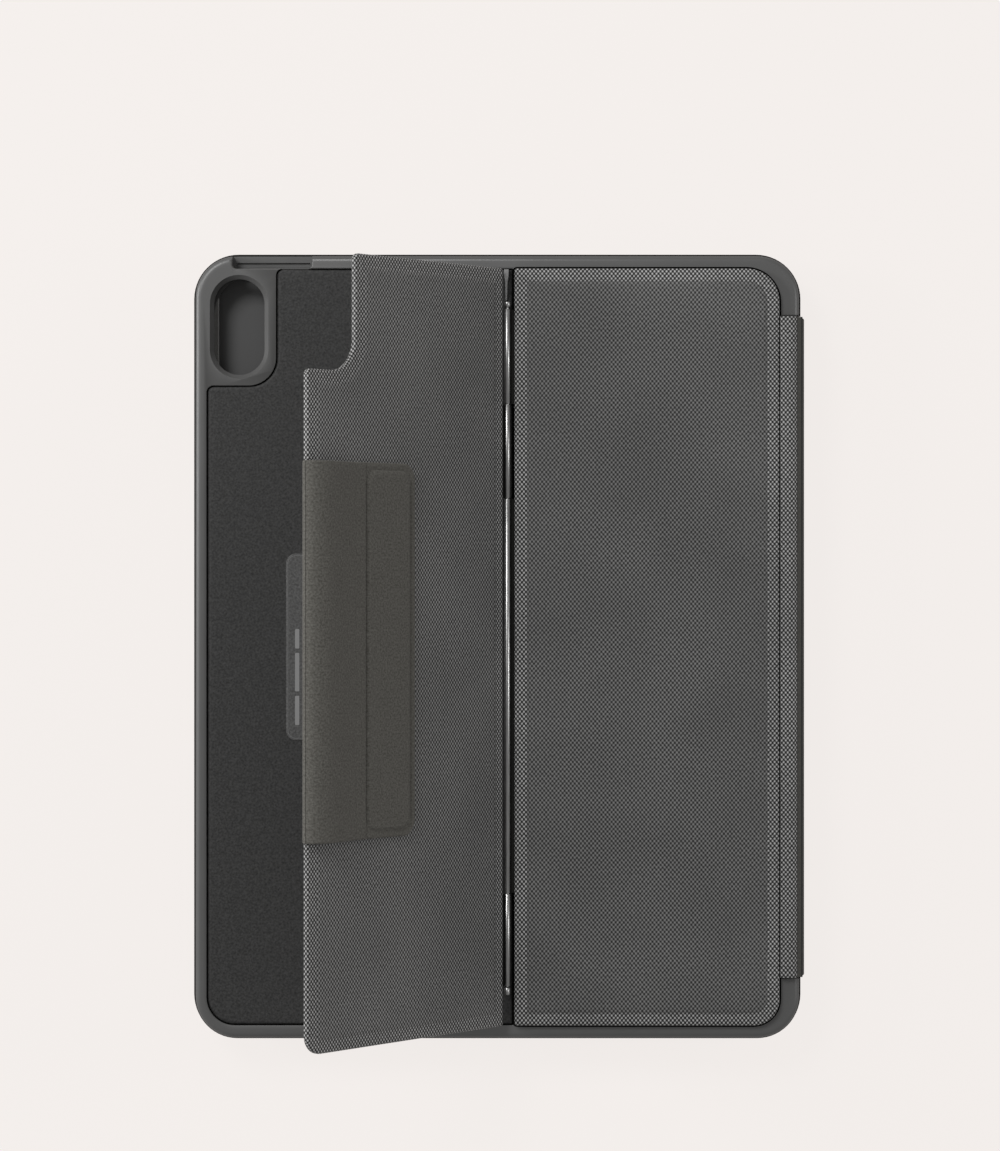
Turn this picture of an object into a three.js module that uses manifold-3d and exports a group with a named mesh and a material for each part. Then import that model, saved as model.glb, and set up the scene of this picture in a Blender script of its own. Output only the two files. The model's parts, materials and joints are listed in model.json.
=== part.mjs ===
// Tablet keyboard case, lying closed on its keyboard cover with the kickstand propped open.
// Millimetres. +Z up, +Y along the spine, +X towards the spine. Z = 0 is the outer face of the cover.
import * as THREE from 'three';
import { mergeVertices } from 'three/addons/utils/BufferGeometryUtils.js';
import Module from 'manifold-3d';

const wasm = await Module();
wasm.setup();

// ---------------------------------------------------------------- driving dimensions

const TRAY = { width: 224.7, height: 290.4, corner: 16.5, ledge: 0.8 };
const TABLET = { width: 215.3, height: 281, corner: 18 };   // pocket, with its running room
const SPINE_BULGE = 0.9;                                    // how far the spine stands proud of the tray
const SPINE_HALF = 121.5;                                   // the spine is shorter than the tray
const SPINE_SEAT = { x: 110.1, room: 0.8 };                 // flat in the tray's side behind the spine
const SPINE_SKIN = { fabric: 0.9, board: 0.9, lining: 0.5, low: 2.2, high: 21.8 };
const CURVE = 5;                                            // segments in a quarter round

// Levels, from the face the case lies on to the outer face of the kickstand.
const Z = {
  coverFabric: 0.7, coverBoard: 2.0, liningTop: 2.5, baseTop: 2.9,
  plateBottom: 3.1, plateTop: 3.6, membraneTop: 4.4, webBottom: 5.8, capBottom: 6.0, webTop: 6.4,
  deckUnder: 7.0, deckTop: 8.0, keyTop: 9.2, bumperTop: 10.4,
  lipFront: 11.0, lipBack: 12.0, ledgeTop: 13.2, pocketBack: 18.4, liningBack: 18.8,
  insertFloor: 19.9, insertTop: 20.6, patchTop: 20.9, frameBack: 21.1,
  standInner: 21.5, standBoard: 21.9, leafUnder: 22.4, boardTop: 23.1, outerFace: 24.0,
};

// Kickstand, measured from its hinge axis towards the free edge.
const HINGE = { x: 3.7, z: 23.4, barrel: 1.1, bore: 0.6, pin: 0.53, open: 50 };
const STAND = { near: 2.6, far: 107.4, half: 139, notchFar: 82.9, notchY: 97.6, inner: 11.5, small: 2.2,
  corner: 7 };
const LEAF = { reach: 12, room: 13, inset: 2, low: -0.85, high: -0.35, start: 0.72 };
const KNUCKLES = { top: 127, capTop: 124.4, fixedTop: 89.4, movingTop: 54.8,
  middleEnd: -90.7, capBottom: -124.6, bottom: -127.9, gap: 0.3 };
const PANEL = { left: 6.3, right: 103.8, half: 139.2, corners: [1, 9.5, 12, 1] };
const INSERT = { left: -106.7, right: 5.6, half: 139, notchX: -81.1, notchY: 95.9 };
const CAMERA = { x: -95.1, y: 117.9, width: 18.6, height: 35.3, chamfer: 1.5, depth: 1.6 };
const POWER_SLOT = { left: -97.7, right: -68.2, inner: 139.3, finger: 142.1 };
const PORT_SLOT = { half: 8 };

// Closing flap, in the kickstand's own plane: s away from the hinge, n off the outer face.
const FLAP = { half: 65.95, linkSkin: 0.9, skin: 0.4, core: 0.5 };
const FOLD_A = { s: 109.35, n: -0.8 };
const FOLD_B = { s: 103.68, n: 4.49 };
const FOLD_C = { s: 79.5, n: 1.2 };
const FOLD_GAP = { a: 0.3, b: 1.1, afterB: 0.4, c: 1.1 };    // soft lengths left open at the folds
const TAB_BEND = { s: 77.4, n: 1.0 };
const TAB_END = 53.5;
const MAGNET = { near: 58.4, far: 77.2, half: 57 };
const CATCH = { near: 58.2, far: 77.5, half: 58, room: 0.3 };   // steel plate under the resting magnet
const COVER_CATCH = { left: -102, right: -90.5, half: 58 };     // steel plate for the closed flap

// Keyboard. Rows run along Y; the first row lies nearest the spine.
const DECK = { half: [104, 139], corner: 8, wall: 1.5 };
const KEY = { unit: 18.2, gap: 2.6, depth: 15.8, clearance: 0.4 };
const ROW_X = { function: 92.5, number: 78, top: 59.6, home: 41.2, bottom: 22.8, space: 4.4 };
const FUNCTION_DEPTH = 9;
const TRACKPAD = { x: -58, depth: 68, width: 120, clearance: 0.8, thickness: 1.1 };
const GLUE = 0.1;                                           // glue line between turned layers

// ---------------------------------------------------------------- materials

const finish = (color, roughness, metalness = 0) =>
  new THREE.MeshStandardMaterial({ color, roughness, metalness });
const WOVEN = finish(0x4e4e4c, 0.85);
const LINING = finish(0x484643, 0.9);
const INSERT_SKIN = finish(0x373737, 0.75);
const FRAME = finish(0x575757, 0.6);
const BOARD = finish(0x2b2b2a, 0.9);
const STEEL = finish(0x8d8d8b, 0.35, 1);
const PLASTIC = finish(0x3a3b3d, 0.55);
const KEYCAP = finish(0x1d1e20, 0.5);
const RUBBER = finish(0x222222, 0.8);
const CIRCUIT = finish(0x1f4a33, 0.6);
const POUCH = finish(0xb9bcc0, 0.4);
const LIGHT = finish(0xdfe6e2, 0.3);
const PATCH = finish(0x464648, 0.5);

// ---------------------------------------------------------------- shape helpers

/** Rectangle with a corner radius for each of bottom-left, bottom-right, top-right, top-left. */
function roundRect(x0, y0, x1, y1, radii) {
  const [a, b, c, d] = Array.isArray(radii) ? radii : [radii, radii, radii, radii];
  const shape = new THREE.Shape();
  shape.moveTo(x0 + a, y0);
  shape.lineTo(x1 - b, y0);
  if (b > 0) shape.absarc(x1 - b, y0 + b, b, -Math.PI / 2, 0);
  shape.lineTo(x1, y1 - c);
  if (c > 0) shape.absarc(x1 - c, y1 - c, c, 0, Math.PI / 2);
  shape.lineTo(x0 + d, y1);
  if (d > 0) shape.absarc(x0 + d, y1 - d, d, Math.PI / 2, Math.PI);
  shape.lineTo(x0, y0 + a);
  if (a > 0) shape.absarc(x0 + a, y0 + a, a, Math.PI, 1.5 * Math.PI);
  return shape;
}

/** Centred rounded rectangle. */
function centred(width, height, radius, x = 0, y = 0) {
  return roundRect(x - width / 2, y - height / 2, x + width / 2, y + height / 2, radius);
}

/** Rectangle whose top-left corner steps in round the camera, with a concave corner. */
function notched({ left, right, half, notchX, notchY, inner, small, corner }) {
  const shape = new THREE.Shape();
  shape.moveTo(left + corner, -half);
  shape.lineTo(right, -half);
  shape.lineTo(right, half);
  shape.lineTo(notchX + small, half);
  shape.absarc(notchX + small, half - small, small, Math.PI / 2, Math.PI);
  shape.lineTo(notchX, notchY + inner);
  shape.absarc(notchX - inner, notchY + inner, inner, 0, -Math.PI / 2, true);
  shape.lineTo(left + small, notchY);
  shape.absarc(left + small, notchY - small, small, Math.PI / 2, Math.PI);
  shape.lineTo(left, -half + corner);
  shape.absarc(left + corner, -half + corner, corner, Math.PI, 1.5 * Math.PI);
  return shape;
}

/** Flat plate of a shape between two levels. */
function slab(shape, z0, z1, bevel = 0) {
  const geometry = new THREE.ExtrudeGeometry(shape, {
    depth: z1 - z0 - 2 * bevel, curveSegments: CURVE, bevelEnabled: bevel > 0,
    bevelThickness: bevel, bevelSize: bevel, bevelOffset: -bevel, bevelSegments: 3,
  });
  return geometry.translate(0, 0, z0 + bevel);
}

/** Bar along Y with a section given as [x, z] points, anticlockwise seen from -Y. */
function barY(points, y0, y1) {
  const shape = new THREE.Shape(points.map(([x, z]) => new THREE.Vector2(x, z)));
  const geometry = new THREE.ExtrudeGeometry(shape, { depth: y1 - y0, bevelEnabled: false });
  return geometry.rotateX(Math.PI / 2).translate(0, y1, 0);
}

function box(x0, x1, y0, y1, z0, z1) {
  const geometry = new THREE.BoxGeometry(x1 - x0, y1 - y0, z1 - z0);
  return geometry.translate((x0 + x1) / 2, (y0 + y1) / 2, (z0 + z1) / 2);
}

/** Tube or rod along Y, turned about its own axis. */
function turnedY(outer, inner, y0, y1, segments = 16) {
  const profile = inner > 0
    ? [[inner, 0], [outer, 0], [outer, y1 - y0], [inner, y1 - y0], [inner, 0]]
    : [[0, 0], [outer, 0], [outer, y1 - y0], [0, y1 - y0]];
  const points = profile.map(([r, y]) => new THREE.Vector2(r, y));
  return new THREE.LatheGeometry(points, segments).translate(0, y0, 0);
}

// ---------------------------------------------------------------- joining and cutting

function toSolid(geometry) {
  const bare = geometry.clone();
  bare.deleteAttribute('normal');
  bare.deleteAttribute('uv');
  const merged = mergeVertices(bare, 1e-5);
  const vertProperties = Float32Array.from(merged.attributes.position.array);
  const triVerts = Uint32Array.from(merged.index.array);
  return new wasm.Manifold(new wasm.Mesh({ numProp: 3, vertProperties, triVerts }));
}

function fromSolid(solid) {
  const mesh = solid.getMesh();
  const geometry = new THREE.BufferGeometry();
  geometry.setAttribute('position', new THREE.BufferAttribute(mesh.vertProperties, 3));
  geometry.setIndex(new THREE.BufferAttribute(mesh.triVerts, 1));
  geometry.computeVertexNormals();
  return geometry;
}

function join(...geometries) {
  return fromSolid(geometries.map(toSolid).reduce((sum, next) => sum.add(next)));
}

function cut(geometry, ...tools) {
  return fromSolid(tools.map(toSolid).reduce((rest, tool) => rest.subtract(tool), toSolid(geometry)));
}

// ---------------------------------------------------------------- the assembly

const keyboardCase = new THREE.Group();
keyboardCase.position.x = -SPINE_BULGE / 2;                 // the tray's centre line, in the part's frame

function put(group, name, geometry, material) {
  const mesh = new THREE.Mesh(geometry, material);
  mesh.name = name;
  group.add(mesh);
}

// ---------------------------------------------------------------- front cover

const COVER = { left: -111.4, right: 109.35, half: 144.2, corner: 15.6, tongue: 111.2 };

function coverSheet(inset, z0, z1) {
  const sheet = roundRect(COVER.left + inset, -COVER.half + inset, COVER.right - inset,
    COVER.half - inset, COVER.corner - inset);
  return slab(sheet, z0, z1);
}

function makeCover() {
  const tongue = box(COVER.right - 20, COVER.tongue, -SPINE_HALF, SPINE_HALF, 0, Z.coverFabric);
  put(keyboardCase, 'cover_outer_fabric', join(coverSheet(0, 0, Z.coverFabric), tongue), WOVEN);
  put(keyboardCase, 'cover_board', coverSheet(1.2, Z.coverFabric, Z.coverBoard), BOARD);
  const [halfX, halfY] = DECK.half;
  const opening = centred(2 * halfX + 0.6, 2 * halfY + 0.6, DECK.corner);
  const lining = cut(coverSheet(0.6, Z.coverBoard, Z.liningTop), slab(opening, 0, Z.deckTop));
  put(keyboardCase, 'cover_lining', lining, LINING);
}

// ---------------------------------------------------------------- keyboard

/** Keys of a row as [name, width in units]; null names a key that shares the row's own piece. */
const plain = (count, width = 1) => Array.from({ length: count }, () => [null, width]);
const ROWS = [
  { x: 'function', piece: 'keys_function_row', keys: [['key_escape', 15 / 14], ...plain(13, 15 / 14)] },
  { x: 'number', piece: 'keys_number_row', keys: [...plain(13), ['key_backspace', 2]] },
  { x: 'top', piece: 'keys_top_letter_row', keys: [['key_tab', 1.5], ...plain(12), [null, 1.5]] },
  { x: 'home', piece: 'keys_home_letter_row',
    keys: [['key_caps_lock', 1.75], ...plain(11), ['key_return', 2.25]] },
  { x: 'bottom', piece: 'keys_bottom_letter_row',
    keys: [['key_shift_left', 2.25], ...plain(10), ['key_shift_right', 2.75]] },
  { x: 'space', piece: 'keys_modifiers', keys: [...plain(3), [null, 1.25], ['key_space', 5.5],
    [null, 1.25], ...plain(4)] },
];

/** Footprints of a row's keys; the row starts at the user's left, which is +Y. */
function rowKeys(row) {
  const depth = row.x === 'function' ? FUNCTION_DEPTH : KEY.depth;
  const x = ROW_X[row.x];
  let left = 7.5 * KEY.unit;
  return row.keys.map(([name, units]) => {
    const right = left - units * KEY.unit;
    const key = { name, x0: x - depth / 2, x1: x + depth / 2,
      y0: right + KEY.gap / 2, y1: left - KEY.gap / 2 };
    left = right;
    return key;
  });
}

const capBox = (key) => box(key.x0, key.x1, key.y0, key.y1, Z.capBottom, Z.keyTop);

/** Plain keys of one run, joined under the deck by a thin web. */
function keyRun(keys) {
  const web = box(keys[0].x0 + 1, keys[0].x1 - 1, keys.at(-1).y0, keys[0].y1, Z.webBottom, Z.webTop);
  return join(web, ...keys.map(capBox));
}

function makeKeys() {
  for (const row of ROWS) {
    const keys = rowKeys(row);
    for (const key of keys.filter((k) => k.name)) put(keyboardCase, key.name, capBox(key), KEYCAP);
    const space = keys.findIndex((k) => k.name === 'key_space');
    if (space < 0) {
      put(keyboardCase, row.piece, keyRun(keys.filter((k) => !k.name)), KEYCAP);
    } else {
      put(keyboardCase, `${row.piece}_left`, keyRun(keys.slice(0, space)), KEYCAP);
      put(keyboardCase, `${row.piece}_right`, keyRun(keys.slice(space + 1)), KEYCAP);
    }
  }
}

const SOCKET = { x: -14, width: 9, z: 5.2, height: 3.2, depth: 7.3, wall: 0.4 };
const SWITCH = { x: -14, length: 5, travel: 2, z: 5.2, height: 1.6 };
const LAMP = { x: 100.4, y: -120, radius: 1 };

/** Hollow moulding with a hole for each key, the trackpad, the socket, the switch and the lamp. */
function deckFrame() {
  const [halfX, halfY] = DECK.half;
  const top = slab(centred(2 * halfX, 2 * halfY, DECK.corner), Z.deckUnder, Z.deckTop);
  const wall = centred(2 * halfX, 2 * halfY, DECK.corner);
  wall.holes.push(centred(2 * (halfX - DECK.wall), 2 * (halfY - DECK.wall), DECK.corner - DECK.wall));
  const room = KEY.clearance;
  const through = [Z.deckUnder - 1, Z.deckTop + 1];
  const keyHoles = ROWS.flatMap(rowKeys).map((key) =>
    box(key.x0 - room, key.x1 + room, key.y0 - room, key.y1 + room, ...through));
  const padX = TRACKPAD.depth / 2 + TRACKPAD.clearance;
  const padY = TRACKPAD.width / 2 + TRACKPAD.clearance;
  const padHole = box(TRACKPAD.x - padX, TRACKPAD.x + padX, -padY, padY, ...through);
  const socketHole = box(SOCKET.x - 4.7, SOCKET.x + 4.7, halfY - 3, halfY + 1,
    SOCKET.z - 1.7, SOCKET.z + 1.7);
  const switchHole = box(SWITCH.x - 3, SWITCH.x + 3 + SWITCH.travel, -halfY - 1, -halfY + 3,
    SWITCH.z - 1, SWITCH.z + 1);
  const lampHole = box(LAMP.x - 1.2, LAMP.x + 1.2, LAMP.y - 1.2, LAMP.y + 1.2, ...through);
  return cut(join(top, slab(wall, Z.baseTop, Z.deckUnder + 0.3)),
    ...keyHoles, padHole, socketHole, switchHole, lampHole);
}

function makeKeyboard() {
  const [halfX, halfY] = DECK.half;
  const base = slab(centred(2 * halfX, 2 * halfY, DECK.corner), Z.coverBoard, Z.baseTop);
  put(keyboardCase, 'keyboard_base', base, PLASTIC);
  put(keyboardCase, 'keyboard_top_frame', deckFrame(), PLASTIC);
  const plateShape = roundRect(-6, -halfY + 2.5, 100, halfY - 11, 2);
  put(keyboardCase, 'key_support_plate', slab(plateShape, Z.plateBottom, Z.plateTop), STEEL);
  put(keyboardCase, 'dome_membrane', slab(plateShape, Z.plateTop, Z.membraneTop), RUBBER);
  put(keyboardCase, 'circuit_board', box(-68, -24, -56, 56, Z.plateBottom, Z.plateBottom + 1), CIRCUIT);
  const { left, right, half } = COVER_CATCH;
  put(keyboardCase, 'cover_catch_plate', box(left, right, -half, half, Z.plateBottom, Z.plateTop), STEEL);
  for (const [name, side] of [['battery_left', 1], ['battery_right', -1]]) {
    const pouch = slab(centred(58, 62, 3, -60, side * 98), Z.plateBottom, 6.6);
    put(keyboardCase, name, pouch, POUCH);
  }
  const pad = centred(TRACKPAD.depth, TRACKPAD.width, 3, TRACKPAD.x, 0);
  const padTop = Z.deckTop - 0.1;
  put(keyboardCase, 'trackpad', slab(pad, padTop - TRACKPAD.thickness, padTop), PLASTIC);

  const socket = box(SOCKET.x - 4.5, SOCKET.x + 4.5, halfY - SOCKET.depth - 0.3, halfY - 0.3,
    SOCKET.z - 1.6, SOCKET.z + 1.6);
  const mouth = box(SOCKET.x - 4.1, SOCKET.x + 4.1, halfY - SOCKET.depth + 0.7, halfY + 1,
    SOCKET.z - 1.2, SOCKET.z + 1.2);
  put(keyboardCase, 'charging_socket', cut(socket, mouth), STEEL);
  const knobX = SWITCH.x - SWITCH.length / 2;
  const knob = box(knobX, knobX + SWITCH.length, -halfY - 0.8, -halfY + 2.2,
    SWITCH.z - SWITCH.height / 2, SWITCH.z + SWITCH.height / 2);
  put(keyboardCase, 'power_switch', knob, KEYCAP);
  const lamp = turnedY(LAMP.radius, 0, 0, 1.3, 12).rotateX(Math.PI / 2);
  put(keyboardCase, 'status_light', lamp.translate(LAMP.x, LAMP.y, Z.deckTop - 1.25), LIGHT);

  for (const [name, x, length] of [['screen_bumper_front', -99, 200], ['screen_bumper_back', 100.6, 180]]) {
    put(keyboardCase, name, slab(centred(3, length, 1.4, x, 0), Z.deckTop, Z.bumperTop), RUBBER);
  }
}

// ---------------------------------------------------------------- spine

function makeSpine() {
  const outer = TRAY.width / 2 + SPINE_BULGE;
  const { fabric, board, lining, low, high } = SPINE_SKIN;
  const layers = [['spine_outer_fabric', outer - fabric, outer, WOVEN],
    ['spine_board', outer - fabric - board, outer - fabric, BOARD],
    ['spine_lining', outer - fabric - board - lining, outer - fabric - board, LINING]];
  for (const [name, x0, x1, material] of layers) {
    put(keyboardCase, name, box(x0, x1, -SPINE_HALF, SPINE_HALF, low, high), material);
  }
}

// ---------------------------------------------------------------- tray

function insertShape(grow) {
  return notched({ left: INSERT.left - grow, right: INSERT.right + grow, half: INSERT.half + grow,
    notchX: INSERT.notchX - grow, notchY: INSERT.notchY + grow,
    inner: 10.5 - grow, small: 2.2 + grow, corner: 10 + grow });
}

function trayShell() {
  const { width, height, corner, ledge } = TRAY;
  const band = slab(centred(width, height, corner), Z.lipFront, Z.ledgeTop);
  const bodyShape = centred(width - 2 * ledge, height - 2 * ledge, corner - ledge);
  const lower = slab(bodyShape, Z.ledgeTop - 0.5, Z.pocketBack);
  const rounded = slab(bodyShape, Z.lipBack + 2, Z.frameBack, 2.4);
  const pocket = slab(centred(TABLET.width, TABLET.height, TABLET.corner), Z.lipBack, Z.liningBack);
  const mouth = slab(centred(TABLET.width - 5, TABLET.height - 5, TABLET.corner - 2), 0, Z.lipBack + 1);
  const { width: camW, height: camH, chamfer, depth, x, y } = CAMERA;
  const camera = slab(centred(camW, camH, camW / 2, x, y), Z.pocketBack - 1, Z.outerFace);
  const rim = slab(centred(camW + 2 * chamfer, camH + 2 * chamfer, camW / 2 + chamfer, x, y),
    Z.frameBack - depth, Z.outerFace);
  const power = slab(roundRect(POWER_SLOT.left, POWER_SLOT.inner, POWER_SLOT.right, height, 1.2),
    Z.ledgeTop, Z.outerFace);
  const finger = box(POWER_SLOT.left + 1, POWER_SLOT.right - 1, TABLET.height / 2 - 1, POWER_SLOT.finger,
    Z.lipBack, Z.ledgeTop + 1);
  const port = box(-PORT_SLOT.half, PORT_SLOT.half, -height, -TABLET.height / 2 + 4,
    Z.lipBack + 0.6, Z.pocketBack - 0.4);
  const recess = slab(insertShape(0.35), Z.insertFloor, Z.outerFace);
  const seatHalf = SPINE_HALF + SPINE_SEAT.room;
  const wingSeat = box(PANEL.right + 0.1, width, -seatHalf, seatHalf, Z.insertTop - 0.2, Z.outerFace);
  const spineSeat = box(SPINE_SEAT.x, width, -seatHalf, seatHalf, 0, Z.outerFace);
  return cut(join(band, lower, rounded), pocket, mouth, camera, rim, power, finger, port, recess,
    wingSeat, spineSeat);
}

function makeTray() {
  put(keyboardCase, 'tray_shell', trayShell(), FRAME);
  const { width, height, x, y } = CAMERA;
  const lining = slab(centred(TABLET.width - 4, TABLET.height - 4, TABLET.corner - 2),
    Z.pocketBack, Z.liningBack);
  const lensRoom = slab(centred(width + 1, height + 1, width / 2 + 0.5, x, y), 0, Z.outerFace);
  put(keyboardCase, 'tray_lining', cut(lining, lensRoom), LINING);
  put(keyboardCase, 'back_insert', slab(insertShape(0), Z.insertFloor, Z.insertTop), INSERT_SKIN);
  const patch = roundRect(-77.8, -34.4, -53.8, 34.4, 3.7);
  put(keyboardCase, 'label_patch', slab(patch, Z.insertTop, Z.patchTop), PATCH);

  const panel = (inset) => roundRect(PANEL.left + inset, -PANEL.half + inset, PANEL.right - inset,
    PANEL.half - inset, PANEL.corners.map((r) => Math.max(0.5, r - inset)));
  const leafRoom = box(HINGE.x, HINGE.x + LEAF.room, KNUCKLES.middleEnd - 1, KNUCKLES.capTop + 1,
    Z.leafUnder, Z.outerFace);
  put(keyboardCase, 'fixed_panel_board',
    cut(slab(panel(0.5), Z.frameBack, Z.boardTop), leafRoom), BOARD);
  put(keyboardCase, 'fixed_panel_fabric', slab(panel(0), Z.boardTop, Z.outerFace), WOVEN);
  const wingLeft = PANEL.right + 0.3;
  const wing = [[wingLeft, 20.5], [110.5, 20.5], [110.5, 22.3], [109.9, 23.2], [108.6, 23.8],
    [wingLeft, 23.9]];
  put(keyboardCase, 'spine_wing_back', barY(wing, -SPINE_HALF, SPINE_HALF), WOVEN);
}

// ---------------------------------------------------------------- hinge

/** Rolled barrel with its leaf; side is +1 towards the spine and -1 towards the free edge. */
function rolledLeaf(y0, y1, side) {
  const { reach, inset, low, high, start } = LEAF;
  const barrel = turnedY(HINGE.barrel, HINGE.bore, y0, y1);
  const leaf = side > 0 ? box(start, reach, y0 + inset, y1 - inset, low, high)
    : box(-reach, -start, y0 + inset, y1 - inset, low, high);
  return join(barrel, leaf);
}

const hingeLine = new THREE.Group();
hingeLine.position.set(HINGE.x, 0, HINGE.z);
keyboardCase.add(hingeLine);

function makeFixedHinge() {
  const { top, capTop, fixedTop, movingTop, middleEnd, capBottom, bottom, gap } = KNUCKLES;
  put(hingeLine, 'hinge_barrel_upper', rolledLeaf(fixedTop, capTop - gap, 1), STEEL);
  put(hingeLine, 'hinge_barrel_middle', rolledLeaf(middleEnd + gap, movingTop - gap, 1), STEEL);
  put(hingeLine, 'hinge_pin', turnedY(HINGE.pin, 0, capBottom - 0.5, capTop + 0.5, 12), STEEL);
  put(hingeLine, 'hinge_cap_upper', turnedY(HINGE.barrel, 0, capTop + 0.6, top), STEEL);
  put(hingeLine, 'hinge_cap_lower', turnedY(HINGE.barrel, 0, bottom, capBottom - 0.6), STEEL);
}

// ---------------------------------------------------------------- kickstand

const stand = new THREE.Group();
stand.rotation.y = THREE.MathUtils.degToRad(HINGE.open);
hingeLine.add(stand);

const level = (z) => z - HINGE.z;                           // a level of the closed stand, off the axis

function standShape(inset) {
  return notched({ left: -STAND.far + inset, right: -STAND.near - inset, half: STAND.half - inset,
    notchX: -STAND.notchFar + inset, notchY: STAND.notchY - inset,
    inner: STAND.inner + inset, small: STAND.small - inset, corner: STAND.corner - inset });
}

function makeStand() {
  const fabric = slab(standShape(0), level(Z.boardTop) + GLUE, level(Z.outerFace));
  put(stand, 'kickstand_fabric', fabric, WOVEN);
  const leafRooms = [[KNUCKLES.movingTop, KNUCKLES.fixedTop], [KNUCKLES.capBottom, KNUCKLES.middleEnd]]
    .map(([y0, y1]) => box(-LEAF.room, 0, y0 - 1, y1 + 1, level(Z.leafUnder), 1));
  const { near, far, half, room } = CATCH;
  const platePlace = box(-far - room, -near + room, -half - room, half + room, level(Z.leafUnder), 1);
  const board = cut(slab(standShape(0.5), level(Z.standBoard), level(Z.boardTop)),
    ...leafRooms, platePlace);
  put(stand, 'kickstand_board', board, BOARD);
  const plate = box(-far, -near, -half, half, level(Z.leafUnder + 0.1), level(Z.leafUnder + 0.6));
  put(stand, 'kickstand_catch_plate', plate, STEEL);
  const lining = slab(standShape(0), level(Z.standInner), level(Z.standBoard) - GLUE);
  put(stand, 'kickstand_lining', lining, LINING);
  put(stand, 'hinge_leaf_upper',
    rolledLeaf(KNUCKLES.movingTop, KNUCKLES.fixedTop - KNUCKLES.gap, -1), STEEL);
  put(stand, 'hinge_leaf_lower',
    rolledLeaf(KNUCKLES.capBottom, KNUCKLES.middleEnd, -1), STEEL);
}

// ---------------------------------------------------------------- closing flap

/** Bar along Y between two offsets from a line of fold points, each { s, n }. */
function flapLayer(line, low, high, half) {
  const normals = line.map((point, index) => {
    const from = line[Math.max(0, index - 1)];
    const to = line[Math.min(line.length - 1, index + 1)];
    const length = Math.hypot(to.s - from.s, to.n - from.n);
    return { s: (to.n - from.n) / length, n: -(to.s - from.s) / length };
  });
  const side = (offset) => line.map((p, i) =>
    [-(p.s + offset * normals[i].s), level(Z.outerFace) + p.n + offset * normals[i].n]);
  return barY([...side(low), ...side(high).reverse()], -half, half);
}

/** Points part of the way along a fold line, leaving a gap at both ends. */
function between(from, to, startGap, endGap) {
  const length = Math.hypot(to.s - from.s, to.n - from.n);
  const at = (t) => ({ s: from.s + (to.s - from.s) * t, n: from.n + (to.n - from.n) * t });
  return [at(startGap / length), at(1 - endGap / length)];
}

function makeFlap() {
  const link = between(FOLD_A, FOLD_B, FOLD_GAP.a, FOLD_GAP.b);
  put(stand, 'flap_link', flapLayer(link, -FLAP.linkSkin / 2, FLAP.linkSkin / 2, FLAP.half), LINING);

  const { skin, core, half } = FLAP;
  const strap = between(FOLD_B, FOLD_C, FOLD_GAP.afterB, FOLD_GAP.c);
  const layers = (name, line, middle) => {
    const inside = middle / 2;
    put(stand, `${name}_skin`, flapLayer(line, -inside - GLUE / 2 - skin, -inside - GLUE / 2, half), WOVEN);
    put(stand, `${name}_lining`, flapLayer(line, inside + GLUE / 2, inside + GLUE / 2 + skin, half), LINING);
  };
  layers('flap_strap', strap, core);
  put(stand, 'flap_strap_stiffener', flapLayer(strap, -core / 2, core / 2, half - 1.5), BOARD);

  const [tabStart] = between(FOLD_C, TAB_BEND, FOLD_GAP.c, 0);
  const tab = [tabStart, TAB_BEND, { s: TAB_END, n: TAB_BEND.n }];
  layers('flap_tab', tab, core);
  const magnet = [{ s: MAGNET.far, n: TAB_BEND.n }, { s: MAGNET.near, n: TAB_BEND.n }];
  put(stand, 'flap_tab_magnet', flapLayer(magnet, -core / 2, core / 2, MAGNET.half), STEEL);
}

makeCover();
makeKeyboard();
makeKeys();
makeSpine();
makeTray();
makeFixedHinge();
makeStand();
makeFlap();

export default keyboardCase;
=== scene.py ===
"""Looks of a tablet keyboard case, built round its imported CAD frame.

Lengths are millimetres from the tray's centre line, until place() turns them into the row frame's metres.
"""
import json
import math

import bmesh
import bpy
from mathutils import Matrix, Vector

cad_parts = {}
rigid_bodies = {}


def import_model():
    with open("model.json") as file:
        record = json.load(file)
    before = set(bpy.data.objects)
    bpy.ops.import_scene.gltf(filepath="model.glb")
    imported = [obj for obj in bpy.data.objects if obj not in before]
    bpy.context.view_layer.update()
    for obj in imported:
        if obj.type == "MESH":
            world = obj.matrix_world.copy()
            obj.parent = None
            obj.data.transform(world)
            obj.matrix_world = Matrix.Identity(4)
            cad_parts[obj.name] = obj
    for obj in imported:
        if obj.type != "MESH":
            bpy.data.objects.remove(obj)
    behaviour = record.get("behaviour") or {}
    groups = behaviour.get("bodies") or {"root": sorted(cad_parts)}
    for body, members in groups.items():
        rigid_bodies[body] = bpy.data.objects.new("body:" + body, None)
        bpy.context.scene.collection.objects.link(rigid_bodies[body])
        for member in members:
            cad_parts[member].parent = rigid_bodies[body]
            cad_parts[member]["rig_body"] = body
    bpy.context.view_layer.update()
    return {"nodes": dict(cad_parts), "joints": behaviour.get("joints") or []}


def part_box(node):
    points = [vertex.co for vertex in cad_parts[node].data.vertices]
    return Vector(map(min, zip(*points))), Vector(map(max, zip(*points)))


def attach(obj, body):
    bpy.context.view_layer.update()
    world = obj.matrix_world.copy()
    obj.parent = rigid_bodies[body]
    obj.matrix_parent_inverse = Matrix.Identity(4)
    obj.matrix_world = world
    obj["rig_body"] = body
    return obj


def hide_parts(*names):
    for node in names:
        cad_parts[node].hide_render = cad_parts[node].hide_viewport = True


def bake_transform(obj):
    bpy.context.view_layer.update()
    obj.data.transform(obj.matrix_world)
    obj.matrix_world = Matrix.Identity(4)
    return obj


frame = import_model()

MM = 0.001
NODES = frame["nodes"]
JOINTS = {joint["name"]: joint for joint in frame["joints"]}
SCENE = bpy.context.scene

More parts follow.
